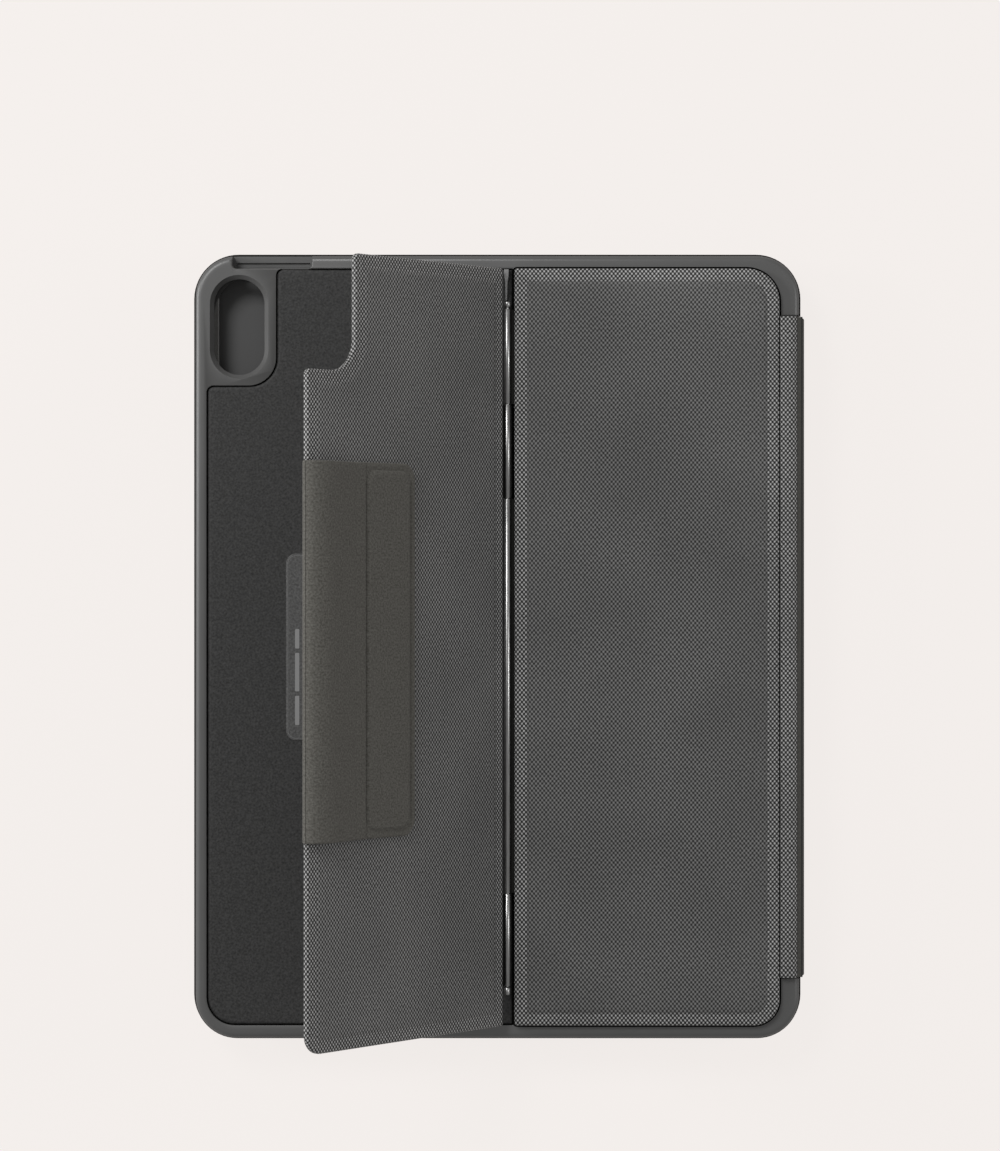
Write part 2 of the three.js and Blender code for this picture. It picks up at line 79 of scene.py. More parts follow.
# ---------------------------------------------------------------- places, from the frame


def tray_centre():
    low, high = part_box("tray_shell")
    return (low.x + high.x) / 2 / MM


TRAY_X = tray_centre()


def extent(node):
    """Lowest and highest corner of a CAD node, in millimetres from the tray's centre line."""
    low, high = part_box(node)
    shift = Vector((TRAY_X, 0, 0))
    return low / MM - shift, high / MM - shift


def place(point):
    """A point of the tray in the row frame."""
    x, y, z = point
    return Vector(((x + TRAY_X) * MM, y * MM, z * MM))


HINGE_AT = Vector(JOINTS["kickstand_hinge"]["pos_m"])
OPEN = math.radians(JOINTS["kickstand_hinge"]["range_deg"][1])
STAND_TURN = Matrix.Rotation(OPEN, 3, "Y")
HINGE_Z = HINGE_AT.z / MM
HINGE_X = HINGE_AT.x / MM - TRAY_X


def stand_place(point):
    """A point of the kickstand, given where it lies when the stand is shut, in the row frame."""
    x, y, z = point
    arm = Vector(((x - HINGE_X) * MM, y * MM, (z - HINGE_Z) * MM))
    return HINGE_AT + STAND_TURN @ arm


PANEL_LOW, PANEL_HIGH = extent("fixed_panel_fabric")
BACK = PANEL_HIGH.z                 # outer face of the shut case
TRAY_LOW, TRAY_HIGH = extent("tray_shell")
INSERT_LOW, INSERT_HIGH = extent("back_insert")
DECK_LOW, DECK_HIGH = extent("keyboard_top_frame")
COVER_LOW, COVER_HIGH = extent("cover_lining")
SPINE_LOW, SPINE_HIGH = extent("spine_outer_fabric")

# ---------------------------------------------------------------- outlines and meshes


def outline(corners, inset=0.0, steps=8):
    """Rounded outline moved in by inset; corners are (x, y, radius), anticlockwise."""
    points = []
    count = len(corners)
    for i, (x, y, corner_radius) in enumerate(corners):
        here = Vector((x, y))
        before = here - Vector(corners[i - 1][:2])
        after = Vector(corners[(i + 1) % count][:2]) - here
        a, b = before.normalized(), after.normalized()
        na, nb = Vector((-a.y, a.x)), Vector((-b.y, b.x))
        turn = a.x * b.y - a.y * b.x
        side = 1 if turn > 0 else -1
        moved = here + inset * (na + nb) / (1 + na.dot(nb))
        radius = max(corner_radius - side * inset, 0.02)
        angle = math.atan2(abs(turn), a.dot(b))
        start = moved - a * radius * math.tan(angle / 2)
        centre = start + na * side * radius
        for k in range(steps + 1):
            arm = Matrix.Rotation(side * angle * k / steps, 2) @ (start - centre)
            points.append(centre + arm)
    return points


def rectangle(x0, y0, x1, y1, radii):
    """Corners of a rectangle, from bottom left anticlockwise."""
    a, b, c, d = radii if isinstance(radii, (list, tuple)) else [radii] * 4
    return [(x0, y0, a), (x1, y0, b), (x1, y1, c), (x0, y1, d)]


def centred(width, height, radius, x=0.0, y=0.0):
    return rectangle(x - width / 2, y - height / 2, x + width / 2, y + height / 2, radius)


def shell(corners, profile, steps=8):
    """Rings of an outline at each (inset, z) of a profile, and where each lies on the flat cloth."""
    rings, flats = [], []
    run = profile[0][0]
    last = profile[0]
    for inset, z in profile:
        run -= math.hypot(inset - last[0], z - last[1])
        last = (inset, z)
        rings.append([(p.x, p.y, z) for p in outline(corners, inset, steps)])
        flats.append([(p.x, p.y) for p in outline(corners, run, steps)])
    return rings, flats


def loft(rings):
    """Faces between closed rings of one count, with a face over each end."""
    count = len(rings[0])
    verts = [p for ring in rings for p in ring]
    faces = []
    for r in range(len(rings) - 1):
        for i in range(count):
            j = (i + 1) % count
            faces.append((r * count + i, r * count + j, (r + 1) * count + j, (r + 1) * count + i))
    faces.append(tuple(range(count)))
    faces.append(tuple(range(len(verts) - count, len(verts))))
    return verts, faces


def joined(shells):
    """Several lofts as the vertices and faces of one mesh."""
    verts, faces = [], []
    for rings in shells:
        more_verts, more_faces = loft(rings)
        faces += [tuple(i + len(verts) for i in face) for face in more_faces]
        verts += more_verts
    return verts, faces


def piece(name, verts, faces, materials, at=place, flat=None, kinds=None, sharp=40):
    """A mesh piece in the row frame, with its faces turned outwards and its cloth map if it has one."""
    mesh = bpy.data.meshes.new(name)
    mesh.from_pydata([at(v) for v in verts], [], faces)
    for material in materials:
        mesh.materials.append(material)
    if kinds:
        mesh.polygons.foreach_set("material_index", kinds)
    if flat:
        layer = mesh.uv_layers.new(name="cloth")
        for loop in mesh.loops:
            layer.data[loop.index].uv = flat[loop.vertex_index]
    work = bmesh.new()
    work.from_mesh(mesh)
    bmesh.ops.recalc_face_normals(work, faces=work.faces)
    work.to_mesh(mesh)
    work.free()
    mesh.shade_smooth()
    mesh.set_sharp_from_angle(angle=math.radians(sharp))
    made = bpy.data.objects.new(name, mesh)
    SCENE.collection.objects.link(made)
    return made


def moulded(name, corners, profile, material, at=place, steps=8, second=None, rows=()):
    """A piece with one outline and a turned profile; the rows given take the second material."""
    rings, flats = shell(corners, profile, steps)
    verts, faces = loft(rings)
    flat = [p for ring in flats for p in ring]
    materials = [material, second] if second else [material]
    kinds = []
    for r in range(len(rings) - 1):
        kinds += [1 if r in rows else 0] * len(rings[0])
    return piece(name, verts, faces, materials, at, flat, kinds + [0, 0])


def block_profile(z0, z1, edge):
    """Profile of a slab whose top edge is a quarter round."""
    points = [(edge + 1.5, z1)]
    steps = 4
    for k in range(steps + 1):
        angle = math.radians(90 * k / steps)
        points.append((edge * (1 - math.sin(angle)), z1 - edge * (1 - math.cos(angle))))
    points += [(0, z0), (edge + 1.5, z0)]
    return points


def carve(target, cutters):
    """Cuts the cutters out of the target and applies it."""
    for cutter in cutters:
        change = target.modifiers.new("carve", "BOOLEAN")
        change.operation = "DIFFERENCE"
        change.solver = "EXACT"
        change.object = cutter
    graph = bpy.context.evaluated_depsgraph_get()
    result = bpy.data.meshes.new_from_object(target.evaluated_get(graph), depsgraph=graph)
    target.modifiers.clear()
    old = target.data
    target.data = result
    bpy.data.meshes.remove(old)
    for cutter in cutters:
        bpy.data.objects.remove(cutter)
    result.shade_smooth()
    result.set_sharp_from_angle(angle=math.radians(35))


def finish_piece(obj, body, slot, *stands_for):
    """Rides a piece on its body and hides the CAD nodes that it stands for; the slot argument is not used.
    """
    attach(obj, body)
    if stands_for:
        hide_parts(*stands_for)


# ---------------------------------------------------------------- materials


def add(tree, kind, inputs=(), **settings):
    """A shader node with its settings and its inputs, each a value or another node's output."""
    made = tree.nodes.new(kind)
    for key, value in settings.items():
        setattr(made, key, value)
    for key, value in dict(inputs).items():
        if isinstance(value, bpy.types.NodeSocket):
            tree.links.new(value, made.inputs[key])
        else:
            made.inputs[key].default_value = value
    return made


def surface(name, roughness, specular=0.5, metallic=0.0, **more):
    """A new material and its shader, with the values that are the same all over."""
    material = bpy.data.materials.new(name)
    material.use_nodes = True
    shader = material.node_tree.nodes["Principled BSDF"]
    shader.inputs["Roughness"].default_value = roughness
    shader.inputs["Specular IOR Level"].default_value = specular
    shader.inputs["Metallic"].default_value = metallic
    for key, value in more.items():
        shader.inputs[key.replace("_", " ")].default_value = value
    return material, material.node_tree, shader


def grey(level, warmth=0.0):
    """Linear colour of a display grey from 0 to 255, a little warmer where warmth is above 0."""
    def linear(v):
        v = max(v, 0) / 255
        return v / 12.92 if v <= 0.04045 else ((v + 0.055) / 1.055) ** 2.4
    return linear(level), linear(level - 0.4 * warmth), linear(level - 1.6 * warmth), 1


def mixed(tree, factor, low, high):
    made = add(tree, "ShaderNodeMix", data_type="RGBA")
    for index, value in ((0, factor), (6, low), (7, high)):
        if isinstance(value, bpy.types.NodeSocket):
            tree.links.new(value, made.inputs[index])
        else:
            made.inputs[index].default_value = value
    return made.outputs[2]


def math_node(tree, operation, a, b=0.0):
    return add(tree, "ShaderNodeMath", {0: a, 1: b}, operation=operation).outputs[0]


def ranged(tree, value, low, high, to_low=0.0, to_high=1.0):
    inputs = {"Value": value, "From Min": low, "From Max": high, "To Min": to_low, "To Max": to_high}
    return add(tree, "ShaderNodeMapRange", inputs).outputs[0]


def cloth_map(tree):
    return add(tree, "ShaderNodeUVMap", uv_map="cloth").outputs["UV"]


def solid_map(tree):
    """Position inside the piece, in millimetres."""
    at = add(tree, "ShaderNodeTexCoord").outputs["Object"]
    return add(tree, "ShaderNodeVectorMath", {0: at, 1: (1000, 1000, 1000)}, operation="MULTIPLY").outputs[0]


def noise(tree, at, size, detail=3.0, roughness=0.55):
    inputs = {"Vector": at, "Scale": 1 / size, "Detail": detail, "Roughness": roughness}
    return add(tree, "ShaderNodeTexNoise", inputs).outputs[0]


def bumped(tree, shader, height, distance, strength=1.0):
    """Bump of a real height in millimetres."""
    inputs = {"Strength": strength, "Distance": distance * MM, "Height": height}
    tree.links.new(add(tree, "ShaderNodeBump", inputs).outputs[0], shader.inputs["Normal"])


YARN = (0.75, 0.88)                 # spacing of the yarns across and along the spine


def woven(name, dark, light, spread):
    """Plain weave of a light yarn over a dark ground: each crossing shows one yarn or the other."""
    material, tree, shader = surface(name, 0.62, 0.35)
    at = cloth_map(tree)
    scale = (math.pi / YARN[0], math.pi / YARN[1], 1)
    turns = add(tree, "ShaderNodeVectorMath", {0: at, 1: scale}, operation="MULTIPLY").outputs[0]
    parts = add(tree, "ShaderNodeSeparateXYZ", {0: turns})
    across = math_node(tree, "COSINE", parts.outputs[0])
    along = math_node(tree, "COSINE", parts.outputs[1])
    crossing = math_node(tree, "MULTIPLY", across, along)
    uneven = noise(tree, at, 0.9, 2)
    lifted = math_node(tree, "ADD", crossing, ranged(tree, uneven, 0.3, 0.7, -0.22, 0.22))
    yarn = ranged(tree, lifted, *spread)
    broad = ranged(tree, noise(tree, at, 45, 2), 0.35, 0.65, 0.9, 1.08)
    colour = mixed(tree, yarn, grey(dark, 0.5), grey(light, 0.5))
    shade = add(tree, "ShaderNodeVectorMath", {0: colour, "Scale": broad}, operation="SCALE").outputs[0]
    tree.links.new(shade, shader.inputs["Base Color"])
    bumped(tree, shader, lifted, 0.12, 0.6)
    return material


def soft(name, level, warmth=1.5, at_map=cloth_map, spread=5):
    """Brushed microfibre: a fine nap with faint mottling."""
    material, tree, shader = surface(name, 0.85, 0.2, Sheen_Weight=0.06, Sheen_Roughness=0.5)
    at = at_map(tree)
    nap = noise(tree, at, 0.75, 3, 0.65)
    mottle = noise(tree, at, 7, 3, 0.6)
    fibres = math_node(tree, "MULTIPLY", ranged(tree, nap, 0.35, 0.65), 0.85)
    both = math_node(tree, "ADD", fibres, ranged(tree, mottle, 0.2, 0.8, 0, 0.15))
    tree.links.new(mixed(tree, both, grey(level - spread, warmth), grey(level + spread, warmth)),
                   shader.inputs["Base Color"])
    bumped(tree, shader, nap, 0.05, 0.5)
    return material


def plastic(name, level, roughness, specular=0.5, warmth=0.0, grain=0.25, depth=0.012):
    """Moulded plastic with a fine spark-eroded grain and faint handling marks."""
    material, tree, shader = surface(name, roughness, specular)
    at = solid_map(tree)
    pits = noise(tree, at, grain, 2)
    cloud = noise(tree, at, 22, 3)
    tree.links.new(mixed(tree, ranged(tree, cloud, 0.1, 0.9), grey(level - 2.5, warmth),
                         grey(level + 2.5, warmth)), shader.inputs["Base Color"])
    tree.links.new(ranged(tree, cloud, 0.1, 0.9, roughness - 0.04, roughness + 0.04),
                   shader.inputs["Roughness"])
    bumped(tree, shader, pits, depth)
    return material


def metal(name, level, roughness, warmth=0.6):
    """Satin steel, drawn along the hinge line."""
    material, tree, shader = surface(name, roughness, 0.5, 1.0)
    at = add(tree, "ShaderNodeVectorMath", {0: solid_map(tree), 1: (6, 0.15, 6)},
             operation="MULTIPLY").outputs[0]
    streaks = noise(tree, at, 1, 3)
    tree.links.new(mixed(tree, ranged(tree, streaks, 0.3, 0.7), grey(level - 12, warmth),
                         grey(level + 12, warmth)), shader.inputs["Base Color"])
    tree.links.new(ranged(tree, streaks, 0.3, 0.7, roughness - 0.06, roughness + 0.08),
                   shader.inputs["Roughness"])
    bumped(tree, shader, streaks, 0.004)
    return material


CELLS = 18                          # grey levels between a cell of the grain and its mean


def grained(name, level, roughness=0.62):
    """Matt leather-like skin of tiny cells."""
    material, tree, shader = surface(name, roughness, 0.3)
    at = solid_map(tree)
    cells = add(tree, "ShaderNodeTexVoronoi", {"Vector": at, "Scale": 1.3}).outputs["Distance"]
    fine = noise(tree, at, 0.8, 3)
    height = math_node(tree, "ADD", math_node(tree, "MULTIPLY", cells, 0.6), fine)
    tree.links.new(mixed(tree, ranged(tree, fine, 0.25, 0.75), grey(level - CELLS, 0.3),
                         grey(level + CELLS, 0.3)),
                   shader.inputs["Base Color"])
    bumped(tree, shader, height, 0.05, 0.8)
    return material


def circuit_green():
    """Solder mask with fine copper tracks under it."""
    material, tree, shader = surface("solder_mask", 0.35)
    at = solid_map(tree)
    tracks = add(tree, "ShaderNodeTexBrick", {"Vector": at, "Scale": 0.35, "Mortar Size": 0.03,
                 "Color1": (0.008, 0.05, 0.022, 1), "Color2": (0.012, 0.065, 0.03, 1),
                 "Mortar": (0.05, 0.16, 0.06, 1)})
    tree.links.new(tracks.outputs[0], shader.inputs["Base Color"])
    bumped(tree, shader, tracks.outputs[1], 0.02)
    return material


def lamp_white():
    material, tree, shader = surface("lamp_lens", 0.25)
    cloud = noise(tree, solid_map(tree), 1.2)
    tree.links.new(mixed(tree, cloud, grey(200), grey(232)), shader.inputs["Base Color"])
    return material


WOVEN_FIELD = woven("woven_field", 20, 111, (-0.5, 0.8))
# Painted light: the kickstand's cloth is the panel's weave, made lighter and higher in contrast for how the
# light falls on the raised stand.
WOVEN_STAND_LIT_COPY = woven("woven_field_painted_light_copy", 4, 130, (-0.5, 0.8))
WOVEN_BORDER = woven("woven_pressed_border", 10, 158, (-0.2, 0.8))
SUEDE = soft("soft_microfibre", 74, 3.6, spread=16)
SIDE_CLOTH = soft("spine_side_cloth", 62, 2.4)
LINING_SOLID = soft("soft_lining_solid", 66, at_map=solid_map)
FRAME_SKIN = plastic("tray_moulding", 72, 0.4, 0.5, 0.3)
# Painted shade: a near-black skin standing in for the shade on the tray's side wall, in its grooves and
# beside the hinge barrel.
SHADE_PAINTED_SKIN = plastic("painted_shade_dark", 16, 0.8, 0.1, 1.0)
INSERT_SKIN = grained("insert_grain", 35)
LABEL_SKIN = grained("label_film", 66, 0.45)
LABEL_LINE = plastic("label_frame_line", 88, 0.4, 0.4)
LABEL_PRINT = plastic("label_print", 118, 0.5, 0.3)
STEEL = metal("satin_steel", 150, 0.3)
HINGE_STEEL = metal("dark_hinge_steel", 148, 0.32)
BOARD = plastic("stiff_board_fibre", 42, 0.9, 0.2, 0.5, 0.8, 0.03)
DECK_SKIN = plastic("deck_moulding", 60, 0.5)
CAP_SKIN = plastic("keycap_moulding", 34, 0.42, 0.5, 0, 0.18)
PAD_SKIN = plastic("trackpad_film", 52, 0.28, 0.5, 0, 0.4, 0.004)
RUBBER = plastic("rubber_moulding", 38, 0.75, 0.3, 0, 0.3)
CIRCUIT = circuit_green()
POUCH = metal("pouch_foil", 185, 0.38, 0)
LAMP = lamp_white()

# ---------------------------------------------------------------- tray

BACK_EDGE = 2.4                     # round between the tray's side and its back
FRONT_LIP = 2.2                     # height of the ledge at the tray's mouth
LEDGE = 0.8                         # width of that ledge
SHADE_PAINTED_ROWS = range(2, 12)             # rows of the tray's profile from its ledge to its round, painted dark as shade
TRAY_CORNER = 16.5
TRAY_TOP = BACK - 2.9
TABLET = {"width": 215.3, "height": 281, "corner": 18}
CAMERA = {"x": -95.1, "y": 117.9, "width": 18.6, "height": 35.3, "flare": 1.5}
POWER_SLOT = {"left": -97.7, "right": -68.2, "inner": 139.3, "finger": 142.1}
SPINE_SEAT = {"x": 110.1, "half": 122.3}
NOTCH = {"x": -81.1, "y": 95.9, "inner": 10.5, "small": 2.2}
GROOVE = 0.35
PRINT_BARS = [(-28.8, -18.0), (-16.4, -2.2), (-0.6, 6.6)]   # plain bars where a label would be printed


def tray_profile():
    low, ledge = TRAY_LOW.z, TRAY_LOW.z + FRONT_LIP
    points = [(12, low), (0.5, low), (0.12, low + 0.12), (0, low + 0.5), (0, ledge - 0.35),
              (0.1, ledge - 0.1), (0.35, ledge), (LEDGE - 0.1, ledge), (LEDGE, ledge + 0.15)]
    for k in range(9):
        angle = math.radians(90 * k / 8)
        points.append((LEDGE + BACK_EDGE * (1 - math.cos(angle)),
                       TRAY_TOP - BACK_EDGE * (1 - math.sin(angle))))
    points += [(LEDGE + BACK_EDGE + 0.8, TRAY_TOP), (12, TRAY_TOP)]
    return points


def notch_corners(low, high):
    """The insert's outline: a rectangle that steps in round the camera."""
    return [(low.x, -high.y, 10), (high.x, -high.y, 0.3), (high.x, high.y, 0.3),
            (NOTCH["x"], high.y, NOTCH["small"]), (NOTCH["x"], NOTCH["y"], NOTCH["inner"]),
            (low.x, NOTCH["y"], NOTCH["small"])]


def bevelled(name, corners, z0, z1, width, steps):
    """Cutter whose upper end widens in a straight bevel."""
    profile = [(2, z0), (0, z0), (0, z1 - width), (-width, z1), (-width, z1 + 3), (2, z1 + 3)]
    return moulded(name, corners, profile, FRAME_SKIN, steps=steps)


def ring_cutter(name, corners, outside, inside, z0, z1):
    """Cutter for a groove along an outline, whose walls take the near-black painted-shade skin as the
    groove's shade.
    """
    profile = [(-outside, z0), (-outside, z1), (inside, z1), (inside, z0)]
    ring = closed_band(name, shell(corners, profile, 10)[0], FRAME_SKIN)
    ring.data.materials.append(SHADE_PAINTED_SKIN)
    ring.data.polygons.foreach_set("material_index", [1] * len(ring.data.polygons))
    return ring


def flared(name, corners, z0, z1, width, depth, grow=0.0, steps=8):
    """Cutter whose upper end widens to z1 in a round, which rounds the edge that it leaves."""
    profile = [(2, z0), (-grow, z0)]
    for k in range(6):
        angle = math.radians(90 * k / 5)
        profile.append((-grow - width * (1 - math.cos(angle)), z1 - depth * (1 - math.sin(angle))))
    profile += [(-grow - width, z1 + 3), (2, z1 + 3)]
    return moulded(name, corners, profile, FRAME_SKIN, steps=steps)


def plain_cutter(name, corners, z0, z1, steps=8):
    return moulded(name, corners, [(0.5, z0), (0, z0), (0, z1), (0.5, z1)], FRAME_SKIN, steps=steps)


def port_cutter():
    """Rounded slot through the tray's lower wall, for the tablet's charging port."""
    low, high = TRAY_LOW.y - 2, TRAY_LOW.y + 7.5
    middle = (TRAY_LOW.z + 1.6 + 18) / 2
    ring = outline(centred(16, 5.4, 2.6, 0, middle), 0)
    rings = [[(p.x, y, p.y) for p in ring] for y in (low, high)]
    return piece("port_cutter", *loft(rings), [FRAME_SKIN])


def make_tray():
    shape = centred(TRAY_HIGH.x - TRAY_LOW.x, TRAY_HIGH.y - TRAY_LOW.y, TRAY_CORNER)
    tray = moulded("tray_moulding", shape, tray_profile(), FRAME_SKIN, steps=14, second=SHADE_PAINTED_SKIN,
                   rows=SHADE_PAINTED_ROWS)
    lining_top = INSERT_LOW.z - 1.1
    insert = notch_corners(INSERT_LOW, INSERT_HIGH)
    left, right, inner = POWER_SLOT["left"], POWER_SLOT["right"], POWER_SLOT["inner"]
    seat = SPINE_SEAT["half"]
    width, height, corner = TABLET["width"], TABLET["height"], TABLET["corner"]
    camera = centred(CAMERA["width"], CAMERA["height"], CAMERA["width"] / 2 - 0.01, CAMERA["x"], CAMERA["y"])
    carve(tray, [flared("power_cutter", rectangle(left, inner, right, 160, [1.6, 1.6, 0.1, 0.1]),
                        TRAY_LOW.z + FRONT_LIP, TRAY_TOP + 0.02, 0.5, 0.5)])
    cutters = [
        plain_cutter("pocket_cutter", centred(width, height, corner), TRAY_LOW.z + 1, lining_top, 14),
        plain_cutter("mouth_cutter", centred(width - 5, height - 5, corner - 2), 0, TRAY_LOW.z + 2, 14),
        bevelled("camera_cutter", camera, lining_top - 1, TRAY_TOP + 0.02, CAMERA["flare"], 14),
        flared("recess_cutter", insert, INSERT_LOW.z, TRAY_TOP + 0.02, 0.25, 0.25, GROOVE, 10),
        ring_cutter("insert_groove", insert, GROOVE + 0.02, 0.4, lining_top + 0.5, TRAY_TOP - 0.3),
        ring_cutter("panel_groove", panel_corners(), 0.75, 0.6, TRAY_TOP - 1.6, TRAY_TOP + 1),
        plain_cutter("finger_cutter", rectangle(left + 1, inner + 0.5, right - 1, POWER_SLOT["finger"], 0.5),
                     TRAY_LOW.z + 1.1, TRAY_LOW.z + 4),
        plain_cutter("wing_cutter", rectangle(PANEL_HIGH.x + 0.1, -seat, 130, seat, 0.6),
                     INSERT_HIGH.z - 0.2, BACK + 3),
        plain_cutter("seat_cutter", rectangle(SPINE_SEAT["x"], -seat, 130, seat, 0.6), 0, BACK + 3),
        port_cutter(),
    ]
    carve(tray, cutters)
    finish_piece(tray, "tray", "tray_shell", "tray_shell")


def make_recess_ridge():
    """Thin moulded rail in the recess past the hinge's upper end, wider at its far end."""
    sections = [(127.7, 0.3, 20.9), (134.6, 0.45, 21.6), (136.2, 0.75, 22.5), (138.9, 0.9, 23.0)]
    x = HINGE_X - 0.3
    floor = INSERT_LOW.z - 0.3
    rings = []
    for y, half, top in sections:
        rings.append([(x - half, y, floor), (x + half, y, floor), (x + half, y, top - 0.25),
                      (x + half - 0.2, y, top), (x - half + 0.2, y, top), (x - half, y, top - 0.25)])
    ridge = piece("hinge_recess_rail", *loft(rings), [LABEL_PRINT])
    finish_piece(ridge, "tray", "tray_shell")


def make_insert():
    low, high = INSERT_LOW, INSERT_HIGH
    profile = [(3, high.z), (1.4, high.z), (0.9, high.z - 0.02), (0.45, high.z - 0.1),
               (0.15, high.z - 0.28), (0.02, high.z - 0.5), (0.02, low.z + 0.02), (3, low.z + 0.02)]
    insert = moulded("back_insert_skin", notch_corners(low, high), profile, INSERT_SKIN, steps=12)
    finish_piece(insert, "tray", "insert_skin", "back_insert")
    patch_low, patch_high = extent("label_patch")
    shape = rectangle(patch_low.x, patch_low.y, patch_high.x, patch_high.y, 3.7)
    patch = moulded("label_patch_film", shape, block_profile(patch_low.z, patch_high.z, 0.16), LABEL_SKIN)
    finish_piece(patch, "tray", "label", "label_patch")
    line_top = patch_high.z + 0.06
    line = [(0.55, patch_high.z - 0.05), (0.6, line_top), (0.85, line_top), (0.9, patch_high.z - 0.05)]
    frame_line = closed_band("label_frame_line", shell(shape, line)[0], LABEL_LINE)
    finish_piece(frame_line, "tray", "label")
    for number, (y0, y1) in enumerate(PRINT_BARS, 1):
        bar = rectangle(patch_low.x + 3.3, y0, patch_low.x + 4.9, y1, 0.4)
        printed = moulded(f"label_print_bar_{number}", bar, [(0.5, line_top), (0, line_top),
                          (0, patch_high.z - 0.05), (0.5, patch_high.z - 0.05)], LABEL_PRINT)
        finish_piece(printed, "tray", "label")


def closed_band(name, rings, material):
    """A ring-shaped piece: closed rings that join the last to the first."""
    count, rows = len(rings[0]), len(rings)
    verts = [p for ring in rings for p in ring]
    faces = []
    for r in range(rows):
        s = (r + 1) % rows
        for i in range(count):
            j = (i + 1) % count
            faces.append((r * count + i, r * count + j, s * count + j, s * count + i))
    return piece(name, verts, faces, [material])


# ---------------------------------------------------------------- woven panels

PRESSED = 4.3                       # width of the pressed border round each panel
SKIN = 0.45                         # thickness of the cloth


def cloth_profile(top, board_under, turn_in, raised=0.12, pressed=0.28):
    """Cloth wrapped over a board: raised field, pressed border, round edge, side and turn-in."""
    return [
        (PRESSED + 4, top + raised), (PRESSED + 2.4, top + raised), (PRESSED + 1.4, top + raised * 0.85),
        (PRESSED + 0.7, top - 0.02), (PRESSED + 0.25, top - pressed + 0.05), (PRESSED - 0.1, top - pressed),
        (PRESSED - 0.6, top - pressed), (1.3, top - pressed), (0.75, top - pressed - 0.04),
        (0.35, top - pressed - 0.2), (0.1, top - pressed - 0.45), (0, top - pressed - 0.8),
        (0, board_under + 0.1), (0.06, board_under - 0.2), (0.3, board_under - 0.36),
        (0.6, board_under - 0.38), (turn_in, board_under - 0.38), (turn_in, board_under - 0.04),
        (SKIN + 0.04, board_under - 0.04), (SKIN + 0.04, top - 0.88), (PRESSED, top - 0.88)]


BORDER_ROWS = range(4, 12)          # rows of the profile that are pressed or turn the edge


def cloth_panel(name, corners, profile, at, steps=10, field=WOVEN_FIELD):
    return moulded(name, corners, profile, field, at, steps, WOVEN_BORDER, BORDER_ROWS)


def panel_corners():
    return rectangle(PANEL_LOW.x, PANEL_LOW.y, PANEL_HIGH.x, PANEL_HIGH.y, [1, 9.5, 12, 1])


def make_fixed_panel():
    profile = cloth_profile(BACK, TRAY_TOP + 0.42, 0.9)
    panel = cloth_panel("fixed_panel_cloth", panel_corners(), profile, place)
    finish_piece(panel, "tray", "woven_fabric", "fixed_panel_fabric")


STAND_FAR = 107.4                   # from the hinge axis to the kickstand's free edge
STAND = {"near": 2.6, "notch_far": 82.9, "notch_y": 97.6, "half": 139}


def stand_corners():
    """The kickstand's outline where it lies when shut."""
    far, near = HINGE_X - STAND_FAR, HINGE_X - STAND["near"]
    notch, half = HINGE_X - STAND["notch_far"], STAND["half"]
    return [(far, -half, 7), (near, -half, 0.4), (near, half, 0.4), (notch, half, 2.2),
            (notch, STAND["notch_y"], 11.5), (far, STAND["notch_y"], 2.2)]


def make_stand():
    board_under = BACK - 2.1
    profile = cloth_profile(BACK, board_under, 3.0)
    cloth = cloth_panel("kickstand_cloth", stand_corners(), profile, stand_place, 12, WOVEN_STAND_LIT_COPY)
    finish_piece(cloth, "kickstand", "woven_fabric", "kickstand_fabric")
    inner = BACK - 2.5
    lining_profile = [(6, board_under - 0.02), (2.6, board_under - 0.02), (2.6, inner + 0.3),
                      (2.7, inner + 0.1), (2.95, inner), (6, inner)]
    lining = moulded("kickstand_lining_cloth", stand_corners(), lining_profile, SUEDE, stand_place, 12)
    finish_piece(lining, "kickstand", "soft_lining", "kickstand_lining")


# ---------------------------------------------------------------- hinge

BARREL, BORE = 1.1, 0.6
LEAF_LOW, LEAF_HIGH = -0.85, -0.35
LEAF_REACH = 12


def rolled_section(side):
    """Section of a sheet-metal leaf rolled into a barrel, as (x, z) from the axis."""
    points = [(LEAF_REACH, LEAF_LOW)]
    first = math.asin(LEAF_LOW / BARREL)
    last = math.radians(-12)
    sweep = 2 * math.pi - (last - first)
    for k in range(41):
        angle = first - sweep * k / 40
        points.append((BARREL * math.cos(angle), BARREL * math.sin(angle)))
    inner_end = math.asin(LEAF_HIGH / BORE)
    inner_sweep = 2 * math.pi - (last - inner_end)
    for k in range(31):
        angle = last + inner_sweep * k / 30
        points.append((BORE * math.cos(angle), BORE * math.sin(angle)))
    points.append((LEAF_REACH, LEAF_HIGH))
    return [(side * x, z) for x, z in points]


def make_leaf(node, side, at, body):
    """A knuckle's barrel and leaf, along the whole length of its CAD node."""
    low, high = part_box(node)
    y0, y1 = low.y / MM, high.y / MM
    rings = []
    for y, ease in ((y0, 0.08), (y0 + 0.08, 0), (y1 - 0.08, 0), (y1, 0.08)):
        section = rolled_section(side)
        rings.append([(HINGE_X + x * (1 - ease / BARREL), y, HINGE_Z + z * (1 - ease / BARREL))
                      for x, z in section])
    count = len(rings[0])
    painted_shade_faces = {0, count - 2, count - 1}  # the flat leaf, given the near-black skin as painted shade in the gaps beside the barrel
    kinds = [1 if i in painted_shade_faces else 0 for i in range(count)] * (len(rings) - 1) + [0, 0]
    leaf = piece(node + "_rolled", *loft(rings), [HINGE_STEEL, SHADE_PAINTED_SKIN], at, kinds=kinds, sharp=50)
    finish_piece(leaf, body, "steel", node)


def turned(name, profile, material):
    """A piece turned about the hinge line, from (radius, y) points."""
    sides = 32
    rings = []
    for radius, y in profile:
        ring = []
        for k in range(sides):
            angle = 2 * math.pi * k / sides
            ring.append((HINGE_X + radius * math.cos(angle), y, HINGE_Z + radius * math.sin(angle)))
        rings.append(ring)
    return piece(name, *loft(rings), [material], sharp=50)


